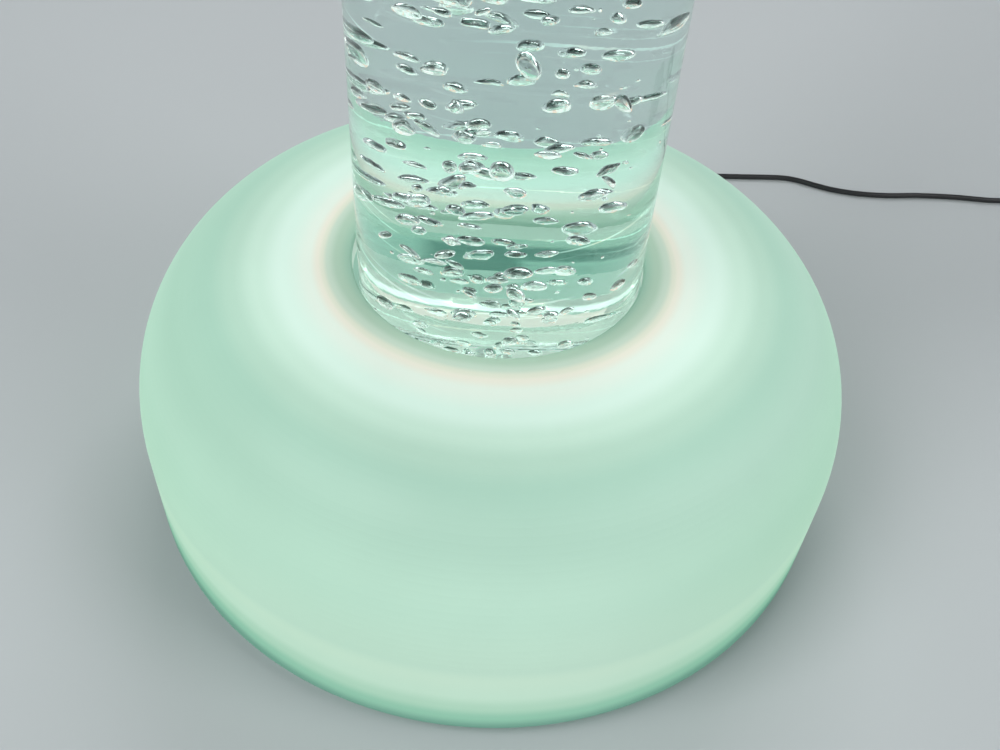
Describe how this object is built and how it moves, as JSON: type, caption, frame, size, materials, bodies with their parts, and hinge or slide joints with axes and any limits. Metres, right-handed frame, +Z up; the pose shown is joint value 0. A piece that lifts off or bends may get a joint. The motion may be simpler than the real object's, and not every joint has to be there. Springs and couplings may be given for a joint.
{
  "type": "bubble tube floor lamp",
  "caption": "Floor lamp: a clear water-filled tube with rising air bubbles, standing in a round glowing moulded base with an air pump inside.",
  "frame": {"origin": "on the floor, on the tube's axis and under the middle of the round base", "axes": "+Z up along the tube, +Y to the rear, where the cable, the buttons and the drain are, +X to the right seen from the front"},
  "size_m": [0.6811, 0.5009, 1.2],
  "materials": {
    "lit_shell": "satin",
    "black_plastic": "satin",
    "dark_grey_plastic": "satin",
    "grey_plastic": "satin",
    "white_plastic": "satin",
    "red_plastic": "gloss",
    "clear_acrylic": "polished",
    "clear_flange": "gloss",
    "water": "polished",
    "rubber": "matte",
    "silicone": "satin",
    "steel": "satin",
    "aluminium": "satin",
    "brass": "satin",
    "iron_core": "matte",
    "copper_winding": "gloss",
    "magnet": "satin",
    "circuit_board": "gloss",
    "light_strip": "satin",
    "lamps": "gloss",
    "wire": "satin",
    "cord": "satin"
  },
  "bodies": {
    "lamp": {"base_shell": "lit_shell", "base_plate": "black_plastic", "plate_screws": "steel", "rubber_feet": "rubber", "tube": "clear_acrylic", "tube_floor": "clear_flange", "tube_flange": "clear_flange", "flange_standoffs": "aluminium", "flange_bolts": "steel", "standoff_screws": "steel", "tube_seal": "rubber", "water_column": "water", "air_chamber": "grey_plastic", "air_nozzles": "steel", "check_valve": "white_plastic", "air_hoses": "silicone", "pump_housing": "dark_grey_plastic", "pump_cover": "dark_grey_plastic", "pump_cover_screws": "steel", "pump_feet": "rubber", "pump_core": "iron_core", "pump_coil": "copper_winding", "pump_diaphragm": "rubber", "pump_valve_block": "grey_plastic", "led_hoop": "white_plastic", "hoop_posts": "aluminium", "hoop_nuts": "steel", "inner_led_strip": "light_strip", "inner_leds": "lamps", "outer_led_strip": "light_strip", "outer_leds": "lamps", "drain_elbow": "dark_grey_plastic", "drain_hose": "silicone", "drain_valve": "steel", "drain_nut": "dark_grey_plastic", "control_board": "circuit_board", "board_parts": "black_plastic", "board_standoffs": "brass", "board_screws": "steel", "wiring": "wire", "rear_panel": "black_plastic", "panel_screws": "steel", "button_switches": "black_plastic", "dc_jack": "black_plastic", "jack_nut": "steel", "dc_plug": "cord", "power_cord": "cord", "cord_coil": "cord", "power_adapter": "black_plastic", "adapter_pins": "steel"},
    "cap": {"top_cap": "white_plastic"},
    "power_key": {"power_button": "white_plastic"},
    "mode_key": {"mode_button": "grey_plastic"},
    "drain_tap": {"drain_ball": "steel", "drain_lever": "red_plastic"},
    "pump_armature": {"pump_arm": "aluminium", "pump_magnet": "magnet"}
  },
  "joints": [
    {"name": "cap_lift", "type": "slide", "parent": "lamp", "child": "cap", "axis": [0, 0, 1], "range_m": [0, 0.12]},
    {"name": "power_press", "type": "slide", "parent": "lamp", "child": "power_key", "axis": [0, -1, 0], "range_m": [0, 0.0016], "stiffness_N_per_m": 400},
    {"name": "mode_press", "type": "slide", "parent": "lamp", "child": "mode_key", "axis": [0, -1, 0], "range_m": [0, 0.0016], "stiffness_N_per_m": 400},
    {"name": "drain_turn", "type": "hinge", "parent": "lamp", "child": "drain_tap", "pos_m": [-0.038, 0.1825, 0.036], "axis": [0, 0, -1], "range_deg": [0, 90]},
    {"name": "pump_swing", "type": "hinge", "parent": "lamp", "child": "pump_armature", "pos_m": [-0.137, 0.038, 0.038], "axis": [0, 0, 1], "range_deg": [-1.5, 1.5], "stiffness_Nm_per_rad": 2, "deforming": ["pump_diaphragm"]}
  ]
}
